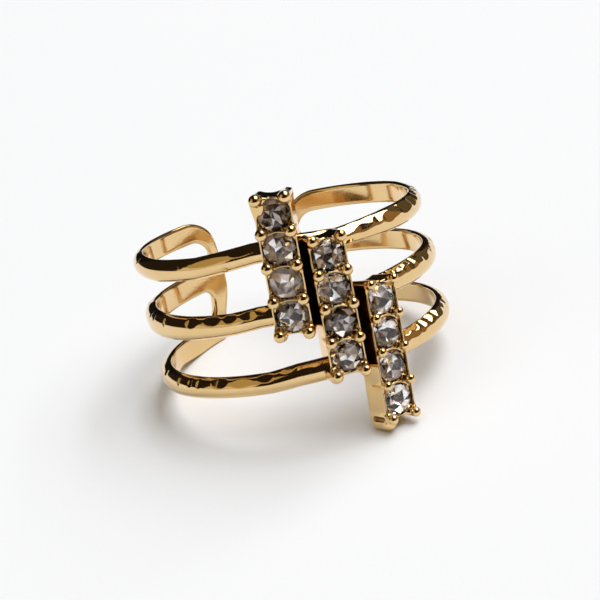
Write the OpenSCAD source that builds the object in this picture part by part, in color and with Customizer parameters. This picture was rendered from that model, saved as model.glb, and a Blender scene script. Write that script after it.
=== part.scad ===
// Crystal ring: three open bands carry three staggered bars of claw-set stones.
// Lengths are in millimetres and angles in degrees.
// The origin is the middle of the finger hole. The ring lies on its side as it
// rests: it stands on the low bar's end and on the two upright ends behind it.

/* [Finger hole and bands] */
// Inner diameter of the finger hole
finger_d = 17.2; // [17:0.1:17.4]
// Width of a band along the finger
band_w = 1.36; // [1.32:0.02:1.4]
// Thickness of a band, flat inside and domed outside
band_t = 0.8; // [0.76:0.02:0.84]
// Mean distance between neighbouring bands at the ring's two sides
band_pitch = 3.56; // [3.5:0.02:3.6]
// Mean angle by which an outer band opens away from the middle one at the front
band_fan = 1.9; // [1.7:0.1:2.1]

/* [Opening at the back] */
// Angle of the opening
gap_angle = 30; // [29:1:33]
// Radius on which the bands bend into the upright ends
bend_r = 1.45; // [1.4:0.05:1.5]
// Extra radius of the upright ends over the bands
end_swell = 0.02; // [0.02:0.01:0.04]

/* [Stone bars] */
// Distance from the finger's axis to the claws' balls in the middle of a bar
ball_reach = 11.1; // [11.05:0.05:11.2]
// Angle between neighbouring bars, seen along the finger
bar_spread = 14.1; // [14:0.05:14.2]
// Angle that each bar's face turns from its neighbour's
bar_turn = 22.3; // [21.5:0.1:23]
// Sideways lean of the middle bar from the finger's axis
bar_lean = 3.2; // [3:0.1:3.4]
// Height of the balls over a bar's base
ball_h = 1.9; // [1.86:0.02:1.92]
// Width of a bar between its claws
bar_w = 2.28; // [2.26:0.01:2.3]
// Distance between neighbouring rows of claws
row_pitch = 2.08; // [2.07:0.01:2.1]
// Distance between the two claws of a row
claw_gap = 1.78; // [1.77:0.01:1.8]
// Diameter of the ball on a claw of the middle bar
ball_d = 0.72; // [0.7:0.01:0.74]
// Diameter by which a claw's post is thinner than its ball
claw_step = 0.06; // [0.04:0.01:0.08]

/* [Stones] */
// Width of a stone across its bar
stone_w = 2; // [1.98:0.01:2]
// Length of a stone along its bar
stone_l = 1.9; // [1.86:0.01:1.9]
// Height of a stone's crown
crown_h = 0.3; // [0.26:0.02:0.34]
// Depth of a stone's pavilion
pavilion_h = 0.8; // [0.7:0.02:0.8]
// Thickness of a stone's girdle
girdle_h = 0.06; // [0.04:0.01:0.08]
// Size of a stone's table as a share of its width
table_share = 0.58; // [0.52:0.02:0.62]

/* [Resting pose] */
// Tilt of the finger's axis toward the back as the ring lies on the floor
rest_tilt = 12.25; // [12:0.05:12.5]
// Tilt of the finger's axis toward +X as the ring lies on the floor
rest_roll = 0.25; // [0:0.05:0.5]

/* [Hidden] */
$fn = 64;
STONES_A_BAR = 4;
// Each band's place over the middle one, its height beyond that, its tip beyond
// the fan and its rise toward +X
BANDS = [
  [1, -0.21, 0.6, -1],
  [0, -0.03, 0, -0.3],
  [-1, -0.26, 0.7, 0.2],
];
PLACE = 0;
SHIFT = 1;
TIP = 2;
RISE = 3;
TOP = 0;
MIDDLE = 1;
BOTTOM = 2;
// Each bar's place beside the middle one and its height on the ring; its lean and
// its balls' diameter beyond the middle one's; and how far the foot on its lower
// left claw hangs below the claw
BARS = [
  [-1, 3.4, 0.4, 0.04, 0.1],
  [0, 0.19, 0, 0, 0.15],
  [1, -3.38, 1.8, -0.12, 0.3],
];
SIDE = 0;
HEIGHT = 1;
LEAN = 2;
BALL = 3;
FOOT = 4;
BAR_NUMBERS = [0 : len(BARS) - 1];
STONE_NUMBERS = [1 : STONES_A_BAR];

finger_r = finger_d / 2;
tube_r = band_w / 2;
// The bands' round section is centred where the finger hole leaves band_t of it
tube_c = finger_r + band_t - tube_r;

// Angles round the ring count from its front, positive toward +X
end_half = gap_angle / 2 + atan((bend_r + tube_r) / tube_c);
arc_to = 180 - end_half;
arc_from = -arc_to;
end_r = tube_r + end_swell;
// Turn by which a band runs on inside the upright ends
tuck = 1.5;
run_in = atan(bend_r / tube_c);
// The throats beside the middle band are a little thinner than the band
throat_step = 0.06;
throat_r = tube_r - throat_step;
throat_tuck = 3;

// Cutting shapes run past what they cut by this much
over = 1;

// A bar's block, from its middle to the last claws' axes, and how far it runs past them
half_l = row_pitch * STONES_A_BAR / 2;
block_over = 0.075;
block_l = 2 * (half_l + block_over);
// How far the block's top and its thin walls' tops lie under the balls
block_drop = 0.52;
rim_drop = 0.26;
block_h = ball_h - block_drop;
rim_h = ball_h - rim_drop;
// Thickness of the side walls and of the walls between stones, and those walls' root
rim_t = 0.1;
arc_t = 0.14;
arc_r = row_pitch / 2;
arc_root = 0.1;
// The hollow curve of a bar's end between its two claws
end_scoop_r = 1;
end_scoop_gap = 0.03;
end_scoop_y = half_l + end_scoop_gap + end_scoop_r;
// Thickness of the wall that this leaves beyond the last stone, and its inner face
end_wall_t = 0.07;
channel_end = half_l + end_scoop_gap - end_wall_t;

// The foot grows in radius by a share of its drop
foot_d = 0.7;
foot_growth = 0.25;
foot_inset = 0.05;
foot_x = foot_inset - claw_gap / 2;
foot_from = 0.02;
foot_to = ball_h - 0.04;

// A seat is two round hollows side by side, a little larger than its stone
seat_play = 0.035;
seat_shift = (stone_w - stone_l) / 2 - 0.005;
seat_r = stone_l / 2 + seat_play;
seat_tip_r = 0.12;
seat_depth = pavilion_h + 0.06;
girdle_z = block_h + 0.02;
facets = 8;

function stone_name(b, s) = str("stone_", b + 1, "_", s);
// Place along a bar of its stone s, the first one uppermost
function stone_y(s) = (STONES_A_BAR / 2 + 0.5 - s) * row_pitch;
// Point at radius r, angle a and height z
function ring_point(r, a, z) = [r * cos(a), r * sin(a), z];

// Height of band i at the ring's sides, its tip toward the front and its height at an
// angle round the ring
function band_height(i) = BANDS[i][PLACE] * band_pitch + BANDS[i][SHIFT];
function band_tip(i) = BANDS[i][PLACE] * band_fan + BANDS[i][TIP];
function band_z(i, turn) = band_height(i)
  + tube_c * (sin(band_tip(i)) * cos(turn) + sin(BANDS[i][RISE]) * sin(turn));

// Lays the upright ring down into its resting pose
module at_rest() {
  rotate([-rest_tilt, rest_roll, 0]) children();
}

// Puts a bar's own frame on the ring: x across, y along, z outward from its base
module on_bar(b) {
  side = BARS[b][SIDE];
  rotate([0, 0, side * bar_spread])
    translate([0, -ball_reach, BARS[b][HEIGHT]])
      rotate([90, 0, side * (bar_turn - bar_spread)])
        rotate([0, 0, -bar_lean - BARS[b][LEAN]])
          translate([0, 0, -ball_h]) children();
}

// A round-section arc of a ring about the z axis, from one angle to another
module tube_arc(bend, r, from, to) {
  rotate([0, 0, from])
    rotate_extrude(angle = to - from) translate([bend, 0]) circle(r = r);
}

module band(i, extra) {
  translate([0, 0, band_height(i)])
    rotate([-band_tip(i), -BANDS[i][RISE], 0])
      tube_arc(tube_c, tube_r, arc_from - extra - 90, arc_to + extra - 90);
}

// The upright that joins the bands at one side of the opening, with x toward the
// opening, at angle turn
module upright_end(turn) {
  top_bend = band_z(TOP, turn) - bend_r;
  bottom_bend = band_z(BOTTOM, turn) + bend_r;
  translate([bend_r, 0, bottom_bend]) cylinder(r = end_r, h = top_bend - bottom_bend);
  translate([0, 0, top_bend]) rotate([90, 0, 0]) tube_arc(bend_r, end_r, 0, 90);
  translate([0, 0, bottom_bend]) rotate([90, 0, 0]) tube_arc(bend_r, end_r, -90, 0);
  translate([0, 0, band_z(MIDDLE, turn)]) for (flip = [0, 1]) mirror([0, 0, flip])
    translate([0, 0, bend_r])
      rotate([90, 0, 0]) tube_arc(bend_r, throat_r, -90 - throat_tuck, throat_tuck);
}

module bands() {
  difference() {
    union() {
      for (i = [TOP, BOTTOM]) band(i, tuck);
      band(MIDDLE, run_in);
      rotate([0, 0, arc_to]) translate([0, -tube_c, 0]) upright_end(arc_to);
      rotate([0, 0, arc_from]) translate([0, -tube_c, 0]) mirror([1, 0, 0]) upright_end(arc_from);
    }
    cylinder(r = finger_r, h = 4 * band_pitch, center = true);
  }
}

// One claw: a post with a ball on its top
module claw(size) {
  cylinder(d = size - claw_step, h = ball_h);
  translate([0, 0, ball_h]) sphere(d = size);
}

// The rounded foot at a bar's lower left corner
module foot(drop) {
  r = foot_d / 2 + drop * foot_growth;
  translate([foot_x, -half_l - drop, 0]) rotate_extrude() intersection() {
    union() {
      translate([0, foot_from + r]) circle(r = r);
      translate([0, foot_to - r]) circle(r = r);
      translate([0, foot_from + r]) square([r, foot_to - foot_from - 2 * r]);
    }
    square([2 * r, 2 * ball_h]);
  }
}

// The thin curved wall between two stones, round the lower one
module dividing_wall() {
  intersection() {
    translate([0, -arc_r, 0]) difference() {
      cylinder(r = arc_r + arc_t / 2, h = rim_h);
      translate([0, 0, -over]) cylinder(r = arc_r - arc_t / 2, h = rim_h + 2 * over);
    }
    translate([-claw_gap / 2, -arc_r, block_h - arc_root]) cube([claw_gap, 2 * arc_r, rim_h]);
  }
}

// The metal of bar b without its seats
module bar_metal(b) {
  difference() {
    translate([-bar_w / 2, -block_l / 2, 0]) cube([bar_w, block_l, rim_h]);
    translate([rim_t - bar_w / 2, -channel_end, block_h])
      cube([bar_w - 2 * rim_t, 2 * channel_end, rim_h]);
    for (end = [-1, 1]) translate([0, end * end_scoop_y, -over])
      cylinder(r = end_scoop_r, h = ball_h + 2 * over);
  }
  for (row = [0 : STONES_A_BAR], side = [-1, 1])
    translate([side * claw_gap / 2, half_l - row * row_pitch, 0])
      claw(ball_d + BARS[b][BALL]);
  foot(BARS[b][FOOT]);
  for (row = [1 : STONES_A_BAR - 1])
    translate([0, half_l - row * row_pitch, 0]) dividing_wall();
}

// The hollow that a stone sits in
module seat() {
  for (side = [-1, 1]) translate([side * seat_shift, 0, 0]) {
    translate([0, 0, block_h - seat_depth])
      cylinder(r1 = seat_tip_r, r2 = seat_r, h = seat_depth);
    translate([0, 0, block_h]) cylinder(r = seat_r, h = rim_h);
  }
}

module ring_frame() {
  color("goldenrod") at_rest() difference() {
    union() {
      bands();
      for (b = BAR_NUMBERS) on_bar(b) bar_metal(b);
    }
    for (b = BAR_NUMBERS, s = STONE_NUMBERS)
      on_bar(b) translate([0, stone_y(s), 0]) seat();
  }
}

// A brilliant with an eight-sided table. Its girdle's underside is at z = 0.
module brilliant() {
  step = 360 / facets;
  slope = crown_h / (1 - table_share);
  star_r = (1 + table_share) / 2;
  star_z = girdle_h + (1 - star_r * cos(step / 2)) * slope;
  lower_r = 0.3;
  lower_z = -pavilion_h + lower_r * cos(step / 2) * pavilion_h;
  turns = [0 : facets - 1];
  points = concat(
    [for (i = turns) ring_point(table_share, i * step, girdle_h + crown_h)],
    [for (i = turns) ring_point(star_r, (i + 0.5) * step, star_z)],
    [for (i = [0 : 2 * facets - 1]) ring_point(1, i * step / 2, girdle_h)],
    [for (i = [0 : 2 * facets - 1]) ring_point(1, i * step / 2, 0)],
    [for (i = turns) ring_point(lower_r, (i + 0.5) * step, lower_z)],
    [[0, 0, -pavilion_h]]
  );
  star = facets;
  top = 2 * facets;
  under = 4 * facets;
  lower = 6 * facets;
  culet = 7 * facets;
  around = 2 * facets;
  table_face = [[for (i = turns) facets - 1 - i]];
  crown_faces = [for (i = turns) let (n = (i + 1) % facets, g = 2 * i, h = (2 * i + 2) % around) each [
    [i, n, star + i],
    [i, star + i, top + g],
    [star + i, n, top + h],
    [top + g, star + i, top + g + 1],
    [top + g + 1, star + i, top + h],
  ]];
  girdle_faces = [for (g = [0 : around - 1]) let (h = (g + 1) % around)
    [top + g, top + h, under + h, under + g]];
  pavilion_faces = [for (i = turns) let (n = (i + 1) % facets, g = 2 * i, h = (2 * i + 2) % around) each [
    [under + g, under + g + 1, lower + i],
    [under + g + 1, under + h, lower + i],
    [under + h, culet, lower + i],
    [under + g, lower + i, culet],
  ]];
  scale([stone_w / 2, stone_l / 2, 1])
    polyhedron(points, concat(table_face, crown_faces, girdle_faces, pavilion_faces), convexity = 2);
}

module stone(b, s) {
  color("gainsboro") at_rest() on_bar(b) translate([0, stone_y(s), girdle_z]) brilliant();
}

ring_frame();
for (b = BAR_NUMBERS, s = STONE_NUMBERS)
  stone(b, s);
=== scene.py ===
import math

import bpy
import numpy as np
from mathutils import Matrix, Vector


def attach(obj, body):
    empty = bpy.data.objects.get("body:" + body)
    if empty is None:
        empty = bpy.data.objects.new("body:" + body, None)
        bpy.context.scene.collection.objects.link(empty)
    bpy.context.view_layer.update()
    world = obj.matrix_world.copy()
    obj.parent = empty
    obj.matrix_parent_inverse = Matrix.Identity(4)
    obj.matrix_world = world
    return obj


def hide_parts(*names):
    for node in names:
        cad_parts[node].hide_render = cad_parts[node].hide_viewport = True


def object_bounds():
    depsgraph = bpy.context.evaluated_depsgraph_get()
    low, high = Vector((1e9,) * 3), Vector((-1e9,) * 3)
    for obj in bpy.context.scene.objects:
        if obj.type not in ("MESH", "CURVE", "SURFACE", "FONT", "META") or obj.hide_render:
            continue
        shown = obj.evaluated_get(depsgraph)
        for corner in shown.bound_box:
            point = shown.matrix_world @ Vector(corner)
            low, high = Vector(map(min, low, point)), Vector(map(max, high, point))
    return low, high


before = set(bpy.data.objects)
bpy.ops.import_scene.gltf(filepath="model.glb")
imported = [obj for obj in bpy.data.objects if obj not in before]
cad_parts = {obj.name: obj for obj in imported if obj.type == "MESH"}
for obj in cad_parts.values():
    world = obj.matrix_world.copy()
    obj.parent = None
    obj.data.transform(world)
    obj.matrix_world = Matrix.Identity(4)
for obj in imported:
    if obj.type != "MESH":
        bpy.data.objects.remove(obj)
cad_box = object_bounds()

# Lengths are in millimetres in the upright ring's own frame, as in the part's source:
# the finger's axis is Z, the bars face -Y. Angles round the ring start at the front.
MM = 0.001

# The bands' inside radius and thickness, the radius of their domed section, and the radius of
# the circle on which the section's centre runs
FINGER_R = 8.6
BAND_T = 0.8
TUBE_R = 0.68
TUBE_C = FINGER_R + BAND_T - TUBE_R
# Half the opening in degrees, the bands' bend into the uprights, and the angle of their end
HALF_GAP = 15
BEND_R = 1.45
END_HALF = HALF_GAP + math.degrees(math.atan((BEND_R + TUBE_R) / TUBE_C))
ARC = math.radians(180 - END_HALF)
# Height, tip toward the front and rise toward +X of each band, from the top
BANDS = [(3.35, 2.5, -1.0), (-0.03, 0.0, -0.3), (-3.82, -1.2, 0.2)]

# The claws' balls: height over the bar's back, and reach from the finger's axis
BALL_H = 1.9
BALL_REACH = 11.1
# Degrees that the outer bars stand and face away from the front
BAR_SPREAD = 14.1
BAR_TURN = 22.3
# Distance from row to row and between the balls of a row; half the length of a bar's rows
ROW_PITCH = 2.08
CLAW_GAP = 1.78
HALF_L = 2 * ROW_PITCH
# Base block, and the rims and end walls on it
BAR_W = 2.28
BLOCK_L = 2 * (HALF_L + 0.075)
BLOCK_H = BALL_H - 0.52
RIM_H = BALL_H - 0.26
RIM_T = 0.1
END_WALL = 0.16
# Side, height, lean, ball diameter and foot drop of each bar, from the left
BARS = [
    (-1, 3.4, 3.6, 0.76, 0.1),
    (0, 0.19, 3.2, 0.72, 0.15),
    (1, -3.38, 5.0, 0.60, 0.3),
]
# Radius of the rounded foot under each bar's lower left corner
FOOT_R = [0.38, 0.42, 0.5]
# Degrees by which the ring tips back and sideways when it rests on the floor
REST_TILT = 12.25
REST_ROLL = 0.25


def turn(axis, degrees):
    return np.array(Matrix.Rotation(math.radians(degrees), 3, axis))


REST = turn("Y", REST_ROLL) @ turn("X", -REST_TILT)


# --- Meshing of a rounded solid that is given by its distance function ---------------


def surface_net(field, low, high, cell):
    """Quads on the zero level of field(points) in a box, one vertex a crossed cell."""
    counts = [int(math.ceil((b - a) / cell)) + 1 for a, b in zip(low, high)]
    axes = [low[k] + cell * np.arange(counts[k]) for k in range(3)]
    grid = np.stack(np.meshgrid(*axes, indexing="ij"), -1)
    value = np.empty(counts, np.float32)
    step = max(1, 400000 // (counts[1] * counts[2]))
    for i in range(0, counts[0], step):
        block = grid[i : i + step].reshape(-1, 3)
        value[i : i + step] = field(block).reshape(-1, counts[1], counts[2])
    inside = value < 0
    cells = tuple(c - 1 for c in counts)
    total = np.zeros(cells + (3,), np.float64)
    hits = np.zeros(cells, np.int32)
    crossed = []
    for k in range(3):
        a = [slice(None)] * 3
        b = [slice(None)] * 3
        a[k] = slice(0, -1)
        b[k] = slice(1, None)
        va, vb = value[tuple(a)], value[tuple(b)]
        edge = inside[tuple(a)] != inside[tuple(b)]
        index = np.argwhere(edge)
        t = va[edge] / (va[edge] - vb[edge])
        point = index.astype(float)
        point[:, k] += t
        crossed.append((index, inside[tuple(a)][edge]))
        o1, o2 = [m for m in range(3) if m != k]
        for d1 in (0, 1):
            for d2 in (0, 1):
                c = index.copy()
                c[:, o1] -= d1
                c[:, o2] -= d2
                ok = (c >= 0).all(1) & (c < np.array(cells)).all(1)
                flat = np.ravel_multi_index(c[ok].T, cells)
                np.add.at(hits.reshape(-1), flat, 1)
                np.add.at(total.reshape(-1, 3), flat, point[ok])
    used = hits > 0
    number = np.full(cells, -1, np.int64)
    number[used] = np.arange(used.sum())
    verts = total[used] / hits[used][:, None] * cell + np.array(low)
    quads = []
    for k, (index, first_in) in enumerate(crossed):
        o1, o2 = (k + 1) % 3, (k + 2) % 3
        ok = (index[:, o1] > 0) & (index[:, o2] > 0)
        ok &= (index[:, o1] < cells[o1]) & (index[:, o2] < cells[o2])
        index, first_in = index[ok], first_in[ok]
        ring = []
        for d1, d2 in ((1, 1), (0, 1), (0, 0), (1, 0)):
            c = index.copy()
            c[:, o1] -= d1
            c[:, o2] -= d2
            ring.append(number[tuple(c.T)])
        quad = np.stack(ring, -1)
        quad[~first_in] = quad[~first_in][:, ::-1]
        quads.append(quad)
    return verts, np.concatenate(quads)


def project(verts, field, rounds, reach):
    """Moves each vertex onto the zero level of a field, by at most reach."""
    start = verts.copy()
    step = 0.004
    for _ in range(rounds):
        value = field(verts)
        grad = np.empty_like(verts)
        for k in range(3):
            d = np.zeros(3)
            d[k] = step
            grad[:, k] = (field(verts + d) - field(verts - d)) / (2 * step)
        size = np.maximum((grad**2).sum(1), 0.25)
        verts = verts - grad * np.clip(value / size, -reach, reach)[:, None]
        move = verts - start
        length = np.linalg.norm(move, axis=1)
        verts = start + move * np.minimum(1, reach / np.maximum(length, 1e-9))[:, None]
    return verts


def smin(a, b, k):
    """The nearer of two distances, with a blend of width k where they meet."""
    h = np.clip(0.5 + 0.5 * (b - a) / k, 0, 1)
    return b + (a - b) * h - k * h * (1 - h)


def smax(a, b, k):
    """The farther of two distances, blended the same way."""
    return -smin(-a, -b, k)


def box_distance(p, low, high, r):
    """Distance to a box between two corners, its edges rounded by r."""
    centre = (np.array(low) + np.array(high)) / 2
    half = (np.array(high) - np.array(low)) / 2 - r
    q = np.abs(p - centre) - half
    return np.linalg.norm(np.maximum(q, 0), axis=1) + np.minimum(q.max(1), 0) - r


def add_mesh(name, verts, faces, material, to_row, smooth=True):
    """A new mesh piece from millimetres in a local frame; to_row turns them to the row's."""
    co = to_row(verts) * MM
    # A form that rests on the floor has a flat there
    co[:, 2] = np.maximum(co[:, 2], cad_box[0][2])
    mesh = bpy.data.meshes.new(name)
    mesh.from_pydata(co.tolist(), [], [list(f) for f in faces])
    mesh.validate()
    mesh.update()
    mesh.polygons.foreach_set("use_smooth", [smooth] * len(mesh.polygons))
    obj = bpy.data.objects.new(name, mesh)
    bpy.context.scene.collection.objects.link(obj)
    mesh.materials.append(material)
    return obj


# --- Materials -----------------------------------------------------------------------


def new_material(name):
    m = bpy.data.materials.new(name)
    m.use_nodes = True
    nt = m.node_tree
    shader = nt.nodes["Principled BSDF"]
    return m, nt, shader


def node(nt, kind, **values):
    """A new node; each value goes to its property or its input of that name."""
    n = nt.nodes.new(kind)
    for key, value in values.items():
        if hasattr(n, key):
            setattr(n, key, value)
        else:
            n.inputs[key.replace("_", " ")].default_value = value
    return n


def gold_material():
    """Polished plating, with a cloudy tint and gloss and a fine grain."""
    m, nt, shader = new_material("gold_plate")
    shader.inputs["Metallic"].default_value = 1.0
    place = node(nt, "ShaderNodeTexCoord")
    cloud = node(nt, "ShaderNodeTexNoise", Scale=420.0, Detail=3.0)
    nt.links.new(place.outputs["Object"], cloud.inputs["Vector"])
    tint = node(nt, "ShaderNodeValToRGB")
    tint.color_ramp.elements[0].position = 0.3
    tint.color_ramp.elements[0].color = (0.77, 0.538, 0.25, 1)
    tint.color_ramp.elements[1].position = 0.7
    tint.color_ramp.elements[1].color = (0.83, 0.597, 0.303, 1)
    nt.links.new(cloud.outputs["Fac"], tint.inputs["Fac"])
    nt.links.new(tint.outputs["Color"], shader.inputs["Base Color"])
    rough = node(nt, "ShaderNodeMapRange", To_Min=0.05, To_Max=0.13)
    nt.links.new(cloud.outputs["Fac"], rough.inputs["Value"])
    nt.links.new(rough.outputs["Result"], shader.inputs["Roughness"])
    grain = node(nt, "ShaderNodeTexNoise", Scale=5200.0, Detail=2.0)
    nt.links.new(place.outputs["Object"], grain.inputs["Vector"])
    bump = node(nt, "ShaderNodeBump", Strength=0.12, Distance=0.00001)
    nt.links.new(grain.outputs["Fac"], bump.inputs["Height"])
    nt.links.new(bump.outputs["Normal"], shader.inputs["Normal"])
    return m


def crystal_material():
    """The clear crown. It bends light little, so that the mirrored back shows through."""
    m, nt, shader = new_material("crystal_crown")
    shader.inputs["Base Color"].default_value = (0.97, 0.95, 0.94, 1)
    shader.inputs["Transmission Weight"].default_value = 1.0
    shader.inputs["IOR"].default_value = 1.12
    shader.inputs["Coat Weight"].default_value = 1.0
    shader.inputs["Coat IOR"].default_value = 1.6
    shader.inputs["Coat Roughness"].default_value = 0.02
    place = node(nt, "ShaderNodeTexCoord")
    wear = node(nt, "ShaderNodeTexNoise", Scale=1500.0, Detail=2.0)
    nt.links.new(place.outputs["Object"], wear.inputs["Vector"])
    rough = node(nt, "ShaderNodeMapRange", To_Min=0.0, To_Max=0.03)
    nt.links.new(wear.outputs["Fac"], rough.inputs["Value"])
    nt.links.new(rough.outputs["Result"], shader.inputs["Roughness"])
    return m


# Painted reflections: tone and roughness of the facets on the stones' mirrored backs, from dark
# to white. The dark and white facets are painted in place of the dark and bright surroundings
# that the backs mirror.
PAINTED_REFLECTION_TONES = [
    ((0.06, 0.045, 0.04), 0.08),
    ((0.34, 0.29, 0.27), 0.1),
    ((0.66, 0.58, 0.54), 0.28),
    ((0.9, 0.87, 0.86), 0.08),
    ((0.99, 0.99, 1.0), 0.03),
]


def painted_reflection_back_material(name, tone, roughness):
    """The mirrored back of a stone, in one of the tones that paint its reflections."""
    m, nt, shader = new_material(name)
    shader.inputs["Metallic"].default_value = 1.0
    place = node(nt, "ShaderNodeTexCoord")
    cloud = node(nt, "ShaderNodeTexNoise", Scale=1400.0, Detail=2.0)
    nt.links.new(place.outputs["Object"], cloud.inputs["Vector"])
    tint = node(nt, "ShaderNodeValToRGB")
    tint.color_ramp.elements[0].position = 0.35
    tint.color_ramp.elements[0].color = (*(0.6 * v for v in tone), 1)
    tint.color_ramp.elements[1].position = 0.6
    tint.color_ramp.elements[1].color = (*tone, 1)
    nt.links.new(cloud.outputs["Fac"], tint.inputs["Fac"])
    nt.links.new(tint.outputs["Color"], shader.inputs["Base Color"])
    shader.inputs["Roughness"].default_value = roughness
    return m


gold = gold_material()
crown_glass = crystal_material()
# Mirrored backs whose tones, from dark to white, are painted reflections
painted_reflection_backs = [painted_reflection_back_material(f"crystal_painted_reflection_back_{i}", *look) for i, look in enumerate(PAINTED_REFLECTION_TONES)]


# --- The three bands and their upright ends ------------------------------------------


def band_height(i, phi):
    high, tip, rise = BANDS[i]
    return high + TUBE_C * (
        math.sin(math.radians(tip)) * np.cos(phi)
        + math.sin(math.radians(rise)) * np.sin(phi)
    )


# How far each band reaches above and below its middle line, by the angle in degrees
BAND_EDGES = [
    [(-180, 0.8, 0.6), (-150, 0.84, 0.55), (-100, 0.84, 0.56), (-75, 0.7, 0.72), (-50, 0.68, 0.7),
     (-25, 0.98, 0.33), (-8, 0.98, 0.33), (10, 0.62, 0.62), (35, 0.74, 0.74), (75, 0.76, 0.7),
     (100, 0.86, 0.6), (150, 0.86, 0.55), (180, 0.8, 0.6)],
    [(-180, 0.66, 0.66), (-150, 0.66, 0.86), (-120, 0.7, 0.9), (-103, 0.8, 0.92),
     (-80, 0.72, 0.92), (-62, 0.68, 0.86), (-40, 0.68, 0.7), (-28, 0.84, 0.52), (-12, 0.78, 0.52),
     (15, 0.7, 0.7), (40, 0.78, 0.78), (90, 0.74, 0.74), (180, 0.66, 0.66)],
    [(-180, 0.66, 0.64), (-155, 0.66, 0.66), (-148, 0.66, 0.74), (-142, 0.66, 0.84),
     (-134, 0.66, 0.84), (-124, 0.66, 0.7), (-100, 0.7, 0.84), (-80, 0.68, 0.82),
     (-55, 0.68, 0.7), (-30, 0.7, 0.66), (-18, 0.9, 0.52), (-5, 0.9, 0.54), (10, 0.72, 0.66),
     (40, 0.76, 0.76), (90, 0.72, 0.72), (180, 0.66, 0.66)],
]
# How much further out the two lower bands bulge at the left end, by the angle in degrees
BULGE = [(-180, 0), (-150, 0.03), (-125, 0.07), (-100, 0.09), (-75, 0.05), (-50, 0), (180, 0)]
# How much further in the top band lies at the right end
DRAWN_IN = [(-180, 0), (45, 0), (70, 0.14), (92, 0.22), (115, 0.14), (140, 0), (180, 0)]
# The outer and the inner edge of an upright: at each height, how far past the bands' end
UPRIGHT_OUT = [
    (-4.6, 1.0), (-4.2, 1.05), (-2.5, 1.5), (-1.9, 1.76), (-1.1, 2.02), (-0.3, 2.1),
    (0.7, 2.1), (1.5, 2.0), (4.6, 2.0),
]
UPRIGHT_IN = [
    (-4.4, -0.1), (-3.0, 0.1), (-2.1, 0.5), (-1.6, 0.56), (-1.0, 0.58), (0.6, 0.9),
    (1.3, 1.16), (1.9, 1.12), (4.4, 0.9),
]
# Height, up and down, over which these edges are averaged
EASE = 0.36
# Corner radii of the uprights' top and foot and of the windows' sills; the bands above and
# below each window, and the radius of its upper corner
TOP_CORNER = 2.4
FOOT_CORNER = 0.6
SILL_CORNER = 0.6
WINDOWS = [(0, 1, 1.15), (1, 2, 0.7)]
# Blend of the edges between the bands' flat inside and their domed outside
INNER_EDGE = 0.2


def table(rows, column, phi):
    """A column of a table by angle."""
    return np.interp(np.degrees(phi), [row[0] for row in rows], [row[column] for row in rows])


def band_edges(i, phi):
    """The middle height and half the width of a band at an angle round the ring."""
    up, down = table(BAND_EDGES[i], 1, phi), table(BAND_EDGES[i], 2, phi)
    return band_height(i, phi) + (up - down) / 2, (up + down) / 2


def round_inside(a, b, r):
    """Where two outlines overlap, with an outside corner of radius r."""
    corner = np.hypot(np.maximum(r + a, 0), np.maximum(r + b, 0))
    return np.minimum(-r, np.maximum(a, b)) + corner


def eased(rows, z):
    """The second column of a table by height, with its corners eased."""
    shifts = np.linspace(-EASE, EASE, 7)
    return sum(np.interp(z + shift, *zip(*rows)) for shift in shifts) / len(shifts)


def band_outline(phi, z):
    """Signed distance to the outline of the bands, rolled out flat."""
    s = (np.abs(phi) - ARC) * TUBE_C
    kept = np.clip(phi, -ARC, ARC)
    middle, half = zip(*[band_edges(i, kept) for i in range(3)])
    out_s = eased(UPRIGHT_OUT, z)
    in_s = eased(UPRIGHT_IN, z)
    whole = round_inside(z - middle[0] - half[0], s - out_s, TOP_CORNER)
    whole = round_inside(whole, middle[2] - half[2] - z, FOOT_CORNER)
    whole = round_inside(whole, s - out_s, FOOT_CORNER)
    for upper, lower, corner in WINDOWS:
        roof = round_inside(z - (middle[upper] - half[upper]), s - in_s, corner)
        sill = round_inside(middle[lower] + half[lower] - z, s - in_s, SILL_CORNER)
        whole = np.maximum(whole, -round_inside(roof, sill, 0.01))
    return whole


def bands_field(p, hammered=False):
    """Distance to the bands and uprights: domed outside and at the edges, flat inside."""
    x, y, z = p.T
    phi = np.arctan2(x, -y)
    r = np.hypot(x, y)
    # 1 at the top band's heights and 0 at the others', and the reverse for the lower bands
    on_top_band = np.clip((z - 1.6) / 0.8, 0, 1)
    on_low_bands = np.clip((2.0 - z) / 0.6, 0, 1)
    r = r + table(DRAWN_IN, 1, phi) * on_top_band
    v = r - TUBE_C - table(BULGE, 1, phi) * on_low_bands
    past_centre = band_outline(phi, z) + TUBE_R
    d = np.hypot(np.maximum(past_centre, 0), v) - TUBE_R
    d = np.where(past_centre < 0, np.abs(v) - TUBE_R, d)
    if hammered:
        d = with_facets(d, phi, z, v)
    return smax(d, FINGER_R - r, INNER_EDGE)


# Blend of the hammer marks' edges, how far a mark reaches up and down from its band's middle,
# and the angle where the marks stop short of the left upright
MARK_EDGE = 0.012
MARK_REACH = 1.0
MARKS_STOP = -128
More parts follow.
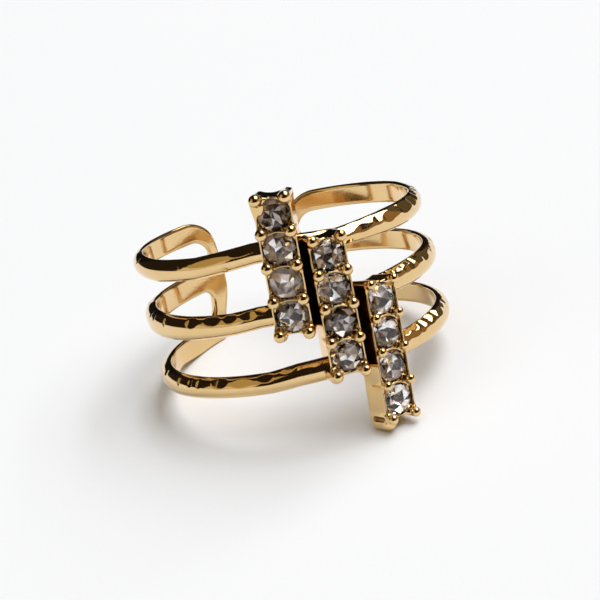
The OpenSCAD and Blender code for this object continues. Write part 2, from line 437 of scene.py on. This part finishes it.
# Each mark: band, angle in degrees round the ring, how far the mark faces up in
# degrees, half its length, its depth and its slant
MARKS = [
    (0, -89.5, 46, 0.13, 0.05, 0.8),
    (0, -55.5, 50, 0.22, 0.08, 0.5),
    (0, -36.0, -38, 0.22, 0.05, 0.3),
    (0, -43.0, 28, 1.2, 0.035, 0.0),
    (0, -27.0, 38, 0.9, 0.06, -0.1),
    (0, -24.0, 62, 0.8, 0.04, 0.1),
    (1, -106.6, 48, 0.12, 0.06, 0.6),
    (1, -89.2, 46, 0.1, 0.06, 0.6),
    (1, -84.5, 40, 0.1, 0.06, 0.5),
    (1, -74.5, 32, 0.09, 0.12, 0.5),
    (1, -57.5, 40, 0.5, 0.09, -0.12),
    (1, -47.5, 44, 0.6, 0.1, 0.1),
    (1, -39.0, 46, 0.45, 0.09, -0.15),
    (1, -31.5, 36, 0.5, 0.07, 0.15),
    (1, -26.0, 52, 0.4, 0.06, -0.1),
    (2, -75.4, 34, 0.12, 0.11, -0.5),
    (2, -67.5, 38, 0.24, 0.07, 0.3),
    (2, -62.0, 38, 0.24, 0.07, -0.3),
    (2, -51.5, 42, 0.62, 0.1, 0.1),
    (2, -41.0, 34, 0.7, 0.06, -0.1),
    (2, -31.0, 46, 0.5, 0.07, 0.1),
    (2, -22.0, 56, 0.5, 0.06, -0.1),
    (2, -90.0, 44, 0.25, 0.05, 0.2),
]


def hammer_marks():
    """The marks above, and close rows of them on the right side and round the left end."""
    rng = np.random.default_rng(11)
    rows = [(i, math.radians(at), *rest) for i, at, *rest in MARKS]
    # Band, how far up the marks face and by how much that varies, first and last angle,
    # depth, and shortest and longest mark
    stretches = [
        (0, 49, 10, 4, 60, 0.045, 0.45, 0.9),
        (0, 30, 9, 5, 62, 0.085, 0.45, 1.0),
        (1, 59, 7, 18, 52, 0.1, 0.3, 0.6),
        (1, 34, 11, 20, 62, 0.045, 0.35, 0.7),
        (2, 58, 7, 24, 54, 0.1, 0.3, 0.6),
        (2, 33, 11, 26, 64, 0.045, 0.35, 0.7),
    ]
    for i in range(3):
        stretches += [
            (i, 44, 13, 60, 94, 0.035, 0.2, 0.5),
            (i, 22, 9, 64, 90, 0.03, 0.2, 0.5),
            (i, 52, 12, -150, -115, 0.03, 0.35, 0.6),
        ]
    for i, up, vary, at, stop, deep, shortest, longest in stretches:
        while at < stop:
            long = rng.uniform(shortest, longest)
            faces_up = up + rng.uniform(-vary, vary)
            depth = deep * rng.uniform(0.4, 1.6)
            slant = rng.uniform(-0.3, 0.3)
            if at > MARKS_STOP:
                rows.append((i, math.radians(at), faces_up, long, depth, slant))
            at += math.degrees((1.3 * long + rng.uniform(0, 0.25)) / TUBE_C)
    return rows


FACETS = hammer_marks()


def with_facets(d, phi, z, v):
    """The bands' distance with the hammer marks cut off as flats."""
    edges = [band_edges(i, phi) for i in range(3)]
    for i, at, up, long, depth, slant in FACETS:
        near = np.abs(phi - at) < long / TUBE_C
        near &= np.abs(z - edges[i][0]) < MARK_REACH
        if not near.any():
            continue
        u = (phi[near] - at) * TUBE_C
        w = z[near] - edges[i][0][near]
        w = w - np.sign(up) * (edges[i][1][near] - TUBE_R)
        up = math.radians(up)
        cut = w * math.sin(up) + v[near] * math.cos(up) - TUBE_R
        # The flat is deepest in its middle and runs out at both ends
        fade = 1 - (u / long) ** 2
        cut += depth * fade + slant * u * fade * 0.25
        d[near] = smax(d[near], cut, MARK_EDGE)
    return d


def build_bands():
    """The bands' mesh: a net on the plain form, then moved onto the hammered one."""
    low = (-9.8, -9.8, -5.0)
    high = (9.8, 9.4, 4.8)
    verts, quads = surface_net(bands_field, low, high, cell=0.076)
    verts = project(verts, lambda p: bands_field(p, hammered=True), rounds=4, reach=0.13)
    return verts, quads


def row_from_ring(p):
    """From the upright ring's frame to the row's, in which the ring rests on the floor."""
    return p @ REST.T


band_verts, band_quads = build_bands()
centre = band_verts[band_quads].mean(1)
left = centre[:, 0] < 0
for name, keep in (("bands_left", left), ("bands_right", ~left)):
    faces = band_quads[keep]
    used, inverse = np.unique(faces, return_inverse=True)
    obj = add_mesh(name, band_verts[used], inverse.reshape(faces.shape), gold, row_from_ring)
    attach(obj, "root")
    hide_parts("ring_frame")


# --- The bars --------------------------------------------------------------------------


# Half the thickness of the curved walls, which stand on the block's top and reach into it
WALL_HALF = 0.065
WALL_ROOT = 0.1
# The stones' seats: radius, shift to either side, depth and radius at the bottom
CUP_R = 0.985
CUP_SHIFT = 0.045
CUP_DEPTH = 0.86
CUP_TIP_R = 0.12
# The scooped ends: radius, and how far past the last row the centre lies
SCOOP_R = 1
SCOOP_PAST = 1.06
# Two short grooves in the right bar's left flank: place along the bar, place across it that
# they reach, lower and upper end; and their radius
GROOVES = [(2.1 - HALF_L, -1.06, 0.7, 1.5), (-0.02 - HALF_L, -1.12, 0.6, 1.4)]
GROOVE_R = 0.035
# Blends: sharp edges, the seats and balls, the walls, the foot, the web, the scoops, the claws'
# posts, and the end posts, which run into one saddle
EDGE = 0.03
BALL_BLEND = 0.02
WALL_BLEND = 0.04
FOOT_BLEND = 0.05
WEB_BLEND = 0.2
SCOOP_BLEND = 0.2
POST_BLEND = 0.12
SADDLE_BLEND = 0.34


def bar_frame(b):
    """Rotation and place of a bar's own frame: x across, y along, z outward."""
    side, height, lean = BARS[b][:3]
    spin = turn("Z", side * BAR_SPREAD)
    turned = spin @ turn("Z", side * (BAR_TURN - BAR_SPREAD)) @ turn("X", 90) @ turn("Z", -lean)
    at = spin @ np.array([0, -BALL_REACH, height]) + turned @ np.array([0, 0, -BALL_H])
    return turned, at


def wall_distance(x, y, z, row):
    """The wall below a row of claws, curved round the next stone."""
    yc = HALF_L - (row + 0.5) * ROW_PITCH
    wall = np.abs(np.hypot(x, y - yc) - ROW_PITCH / 2) - WALL_HALF
    wall = np.maximum(wall, np.abs(x) - CLAW_GAP / 2)
    wall = np.maximum(wall, yc - y)
    wall = np.maximum(wall, z - RIM_H)
    return np.maximum(wall, BLOCK_H - WALL_ROOT - z)


def seat_distance(x, y, z, yc, side):
    """A stone's seat: open above the block, a cone in it."""
    flat = np.hypot(x - side * CUP_SHIFT, y - yc)
    seat = np.maximum(flat - CUP_R, BLOCK_H - z)
    cone = flat - (CUP_TIP_R + (CUP_R - CUP_TIP_R) * (z - BLOCK_H + CUP_DEPTH) / CUP_DEPTH)
    seat = np.minimum(seat, np.maximum(cone * 0.7, z - BLOCK_H))
    return np.maximum(seat, BLOCK_H - CUP_DEPTH - z)


def post_distance(x, y, z, yc, side, radius):
    """A claw's post, which is narrower and a little further in at its root."""
    t = np.clip(z / BALL_H, 0, 1)
    across = x - side * (CLAW_GAP / 2 - 0.06 * (1 - t))
    along = y - yc * (1 - 0.02 * (1 - t))
    post = np.hypot(across, along) - radius * (0.55 + 0.45 * t)
    return np.maximum(post, np.maximum(-z, z - BALL_H + 0.08))


def foot_distance(x, y, z, r, drop):
    """The rounded foot under the lower left corner, which bulges to the left."""
    across = x + 0.84
    along = y - (-HALF_L - drop - (0.35 + 0.25 * drop) + r)
    up = z - np.clip(z, 0.02 + r, BALL_H - 0.1 - r)
    return np.sqrt(across**2 + along**2 + up**2) - r


def web_distance(x, y, z):
    """The thick web beside the left bar's upper left ball."""
    across, along, up = (x + 0.86) / 0.4, (y - HALF_L + 0.5) / 0.52, (z - 1.56) / 0.2
    return (np.sqrt(across**2 + along**2 + up**2) - 1) * 0.2


def groove_distance(x, y, z, along, across, low, high):
    """An upright groove in a bar's left flank."""
    past_end = np.maximum(np.abs(z - (low + high) / 2) - (high - low) / 2, 0)
    return np.maximum(np.sqrt(past_end**2 + (y - along) ** 2) - GROOVE_R, x - across)


def bar_field(p, b):
    """Distance to a bar in its own frame."""
    ball, drop = BARS[b][3:]
    x, y, z = p.T
    rows = [HALF_L - row * ROW_PITCH for row in range(5)]
    body = box_distance(p, (-BAR_W / 2, -BLOCK_L / 2, 0), (BAR_W / 2, BLOCK_L / 2, RIM_H), EDGE)
    channel = box_distance(
        p,
        (RIM_T - BAR_W / 2, END_WALL - HALF_L, BLOCK_H),
        (BAR_W / 2 - RIM_T, HALF_L - END_WALL, 4),
        EDGE,
    )
    d = smax(body, -channel, EDGE)
    for row in range(1, 4):
        d = smin(d, wall_distance(x, y, z, row), WALL_BLEND)
    for s in range(4):
        for side in (-1, 1):
            d = smax(d, -seat_distance(x, y, z, (1.5 - s) * ROW_PITCH, side), BALL_BLEND)
    for yc in rows:
        blend = SADDLE_BLEND if yc in (rows[0], rows[-1]) else POST_BLEND
        for side in (-1, 1):
            d = smin(d, post_distance(x, y, z, yc, side, ball / 2 - 0.01), blend)
    for end in (-1, 1):
        scoop = np.hypot(x, y - end * (HALF_L + SCOOP_PAST)) - SCOOP_R
        d = smax(d, -scoop, SCOOP_BLEND)
    d = smin(d, foot_distance(x, y, z, FOOT_R[b], drop), FOOT_BLEND)
    if b == 0:
        d = smin(d, web_distance(x, y, z), WEB_BLEND)
    for yc in rows:
        for side in (-1, 1):
            flat = np.hypot(x - side * CLAW_GAP / 2, y - yc)
            sphere = np.sqrt(flat**2 + (z - BALL_H) ** 2) - ball / 2
            d = smin(d, sphere, BALL_BLEND)
    if b == 2:
        for groove in GROOVES:
            d = smax(d, -groove_distance(x, y, z, *groove), EDGE)
    return smax(d, -z, EDGE)


for b in range(3):
    turned, at = bar_frame(b)
    low = (-1.45, -HALF_L - 1.0, -0.1)
    high = (1.45, HALF_L + 0.6, BALL_H + 0.5)
    verts, quads = surface_net(lambda p: bar_field(p, b), low, high, cell=0.05)
    verts = project(verts, lambda p: bar_field(p, b), rounds=4, reach=0.05)
    obj = add_mesh(
        f"bar_{b + 1}", verts, quads, gold, lambda p: row_from_ring(p @ turned.T + at)
    )
    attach(obj, "root")
    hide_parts("ring_frame")


# --- The stones ------------------------------------------------------------------------


def brilliant(rng):
    """Vertices and faces of a stone of radius 1, and the first face of its mirrored back."""
    n = 8
    # Radius of the table and of the star facets' tips, and heights of the girdle, the crown and
    # the back
    table, star_r, girdle, crown, depth = 0.58, 0.79, 0.06, 0.26, 0.56
    slope = crown / (1 - table)
    half = math.pi / n
    star_z = girdle + (1 - star_r * math.cos(half)) * slope
    pts, faces = [], []

    def ring(r, z, count, offset):
        """Adds points on a circle and says where they begin; offset is in steps."""
        first = len(pts)
        for i in range(count):
            a = 2 * math.pi * (i + offset) / count
            pts.append((r * math.cos(a), r * math.sin(a), z))
        return first

    # From the top: table, stars, the girdle's two edges and two rings on the back
    t0 = ring(table, girdle + crown, n, 0)
    s0 = ring(star_r, star_z, n, 0.5)
    g0 = ring(1, girdle, 2 * n, 0)
    u0 = ring(1, 0, 2 * n, 0)
    l0 = ring(0.72, -0.2, n, 0.5)
    m0 = ring(0.38, -0.39, n, 0)
    # The back is uneven, which breaks up what it mirrors
    for k in range(l0, len(pts)):
        x, y, z = pts[k]
        pts[k] = (
            x + rng.uniform(-0.1, 0.1),
            y + rng.uniform(-0.1, 0.1),
            z + rng.uniform(-0.06, 0.05),
        )
    tip = len(pts)
    pts.append((rng.uniform(-0.12, 0.12), rng.uniform(-0.12, 0.12), -depth))
    faces.append([t0 + i for i in range(n)])
    for i in range(n):
        j = (i + 1) % n
        g, h, k = 2 * i, 2 * i + 1, (2 * i + 2) % (2 * n)
        faces += [
            [t0 + i, s0 + i, t0 + j],
            [t0 + i, g0 + g, s0 + i],
            [s0 + i, g0 + k, t0 + j],
            [g0 + g, g0 + h, s0 + i],
            [g0 + h, g0 + k, s0 + i],
        ]
    for g in range(2 * n):
        h = (g + 1) % (2 * n)
        faces.append([u0 + g, u0 + h, g0 + h, g0 + g])
    first_back = len(faces)
    for i in range(n):
        j = (i + 1) % n
        g, h, k = 2 * i, 2 * i + 1, (2 * i + 2) % (2 * n)
        faces += [
            [u0 + h, u0 + g, l0 + i],
            [u0 + k, u0 + h, l0 + i],
            [u0 + k, l0 + i, l0 + j],
            [l0 + j, l0 + i, m0 + j],
            [l0 + i, m0 + i, m0 + j],
            [m0 + j, m0 + i, tip],
        ]
    return np.array(pts), faces, first_back


# Each stone's painted reflections, by bar from the left and from the top down: middle tone (0
# dark to 4 white), change to the right and upward, and how much its facets differ. The change to
# the right and upward paints one side of each stone lighter and the other darker.
STONE_PAINTED_REFLECTIONS = [
    [
        (0.3, -0.3, 0.3, 2.0),
        (2.0, -0.5, -0.5, 1.7),
        (2.0, 0.1, 0.1, 0.6),
        (2.1, -0.2, -0.4, 2.0),
    ],
    [
        (2.1, -0.4, 0.5, 2.2),
        (2.4, -1.5, -0.1, 1.8),
        (0.3, 0.0, 0.3, 2.2),
        (2.8, -1.1, -0.3, 1.9),
    ],
    [
        (4.0, -0.3, -0.3, 2.2),
        (2.9, -0.1, -0.2, 2.2),
        (3.4, -0.3, -0.4, 2.1),
        (2.8, -0.3, -0.1, 2.3),
    ],
]
# A stone's length along the bar against its width of 2 mm, and its height over the block
STONE_LENGTH = 0.95
STONE_GAP = 0.02

rng = np.random.default_rng(5)
for b in range(3):
    turned, at = bar_frame(b)
    for s in range(4):
        pts, faces, first_back = brilliant(rng)
        spin = turn("Z", rng.uniform(0, 45))
        pts = pts @ spin.T * np.array([1.0, STONE_LENGTH, 1.0])
        seat = np.array([0, (1.5 - s) * ROW_PITCH, BLOCK_H + STONE_GAP])
        obj = add_mesh(
            f"crystal_{b + 1}_{s + 1}",
            pts + seat,
            faces,
            crown_glass,
            lambda p: row_from_ring(p @ turned.T + at),
            smooth=False,
        )
        for foil in painted_reflection_backs:
            obj.data.materials.append(foil)
        # Each facet of a stone's back gets a painted reflection tone: the stone's middle tone, a
        # painted light-to-shade change across the stone, and a random spread
        tone, right, up, spread = STONE_PAINTED_REFLECTIONS[b][s]
        for polygon in obj.data.polygons:
            if polygon.index < first_back:
                continue
            x, y, _ = pts[faces[polygon.index]].mean(0)
            level = tone + 1.6 * (right * x + up * y) + spread * rng.uniform(-1.3, 1.3)
            polygon.material_index = 1 + int(np.clip(round(level), 0, len(painted_reflection_backs) - 1))
        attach(obj, "root")
        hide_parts(f"stone_{b + 1}_{s + 1}")


# --- Floor, light and camera --------------------------------------------------------------

# In metres from here on
floor_z = cad_box[0][2]
FLOOR_SIZE = (1.2, 1.1)
# The floor ends just behind what the camera sees of it
FLOOR_END = 0.105
CARD_SIZE = (0.074, 0.026)
CARD_AT = (0.01, 0.075)


def matt_material(name, colour):
    m, _, shader = new_material(name)
    shader.inputs["Base Color"].default_value = colour
    shader.inputs["Roughness"].default_value = 0.9
    shader.inputs["Specular IOR Level"].default_value = 0.0
    return m


bpy.ops.mesh.primitive_plane_add(size=1.0, location=(0, 0, floor_z))
floor = bpy.context.object
floor.name = "floor"
floor.scale = (*FLOOR_SIZE, 1)
floor.location.y = FLOOR_END - FLOOR_SIZE[1] / 2
floor.data.materials.append(matt_material("floor_white", (0.87, 0.885, 0.91, 1)))

# A dark card stands upright behind the ring. Only reflections see it: it gives the metal its
# dark upper edges.
bpy.ops.mesh.primitive_plane_add(
    size=1.0,
    location=(*CARD_AT, floor_z + CARD_SIZE[1] / 2),
    rotation=(math.pi / 2, 0, 0),
)
card = bpy.context.object
card.name = "dark_card"
card.scale = (*CARD_SIZE, 1)
card.data.materials.append(matt_material("card_black", (0.01, 0.01, 0.01, 1)))
card.visible_camera = card.visible_diffuse = card.visible_shadow = False
card.visible_transmission = False


def area_light(name, direction, distance, spread, radiance, colour=(1, 1, 1), roll=0):
    """A softbox that faces the ring; direction is azimuth from the front and elevation,
    spread is its width and height for each metre of distance."""
    azimuth, elevation = (math.radians(v) for v in direction)
    light = bpy.data.lights.new(name, "AREA")
    light.shape = "RECTANGLE"
    light.size, light.size_y = (distance * v for v in spread)
    light.energy = radiance * math.pi * light.size * light.size_y
    light.color = colour
    obj = bpy.data.objects.new(name, light)
    place = Matrix.Translation(
        (
            distance * math.sin(azimuth) * math.cos(elevation),
            -distance * math.cos(azimuth) * math.cos(elevation),
            distance * math.sin(elevation),
        )
    )
    aim = -place.translation
    facing = aim.to_track_quat("-Z", "Y").to_matrix().to_4x4()
    obj.matrix_world = place @ facing @ Matrix.Rotation(math.radians(roll), 4, "Z")
    bpy.context.scene.collection.objects.link(obj)
    return obj


# A large softbox high on the right, dim warm walls below it and cards on the left; the rest
# of the room is dark
area_light("key_box", (100, 60), 2.5, (1.16, 0.72), 3.95, roll=-18)
area_light("warm_wall", (68, 18), 1.5, (1.3, 0.62), 0.27, (1, 0.62, 0.28))
area_light("olive_wall", (125, 15), 1.5, (0.7, 0.45), 0.09, (1, 0.8, 0.42))
area_light("left_card", (-82, 36), 2.0, (0.83, 0.58), 0.46, (1, 0.78, 0.36))
area_light("left_low", (-82, 10), 1.9, (0.83, 0.35), 0.72, (1, 0.91, 0.7))
# A soft fill from above that the metal's dark reflections don't show
fill = area_light("fill", (-40, 72), 2.5, (1.3, 1.3), 1.0, (0.96, 0.98, 1))
fill.visible_glossy = False

world = bpy.data.worlds.new("studio")
bpy.context.scene.world = world
world.use_nodes = True
background = world.node_tree.nodes["Background"]
background.inputs["Color"].default_value = (0.02, 0.014, 0.01, 1)
background.inputs["Strength"].default_value = 1.0

# The photo's camera in the upright ring's frame, found from the claws and the bands: degrees,
# where the ring's centre lies for it in mm, and the scale there in a picture 600 pixels wide
AZIMUTH, ELEVATION, ROLL = 12.5, 13.2, 14.1
SHIFT = np.array([-0.564, 1.24, -152.0])
PIXELS_PER_MM = 15.717
PICTURE = 600
view = turn("Z", ROLL) @ turn("X", ELEVATION - 90) @ turn("Z", AZIMUTH) @ REST.T
place = -(view.T @ SHIFT) * MM
cam = bpy.data.cameras.new("camera")
cam.sensor_fit = "HORIZONTAL"
cam.sensor_width = 36
cam.lens = PIXELS_PER_MM * -SHIFT[2] * cam.sensor_width / PICTURE
cam.clip_start, cam.clip_end = 0.005, 10
cam_obj = bpy.data.objects.new("camera", cam)
bpy.context.scene.collection.objects.link(cam_obj)
cam_obj.matrix_world = Matrix.Translation(place.tolist()) @ Matrix(view.T.tolist()).to_4x4()
bpy.context.scene.camera = cam_obj
bpy.context.scene.view_settings.view_transform = "Standard"
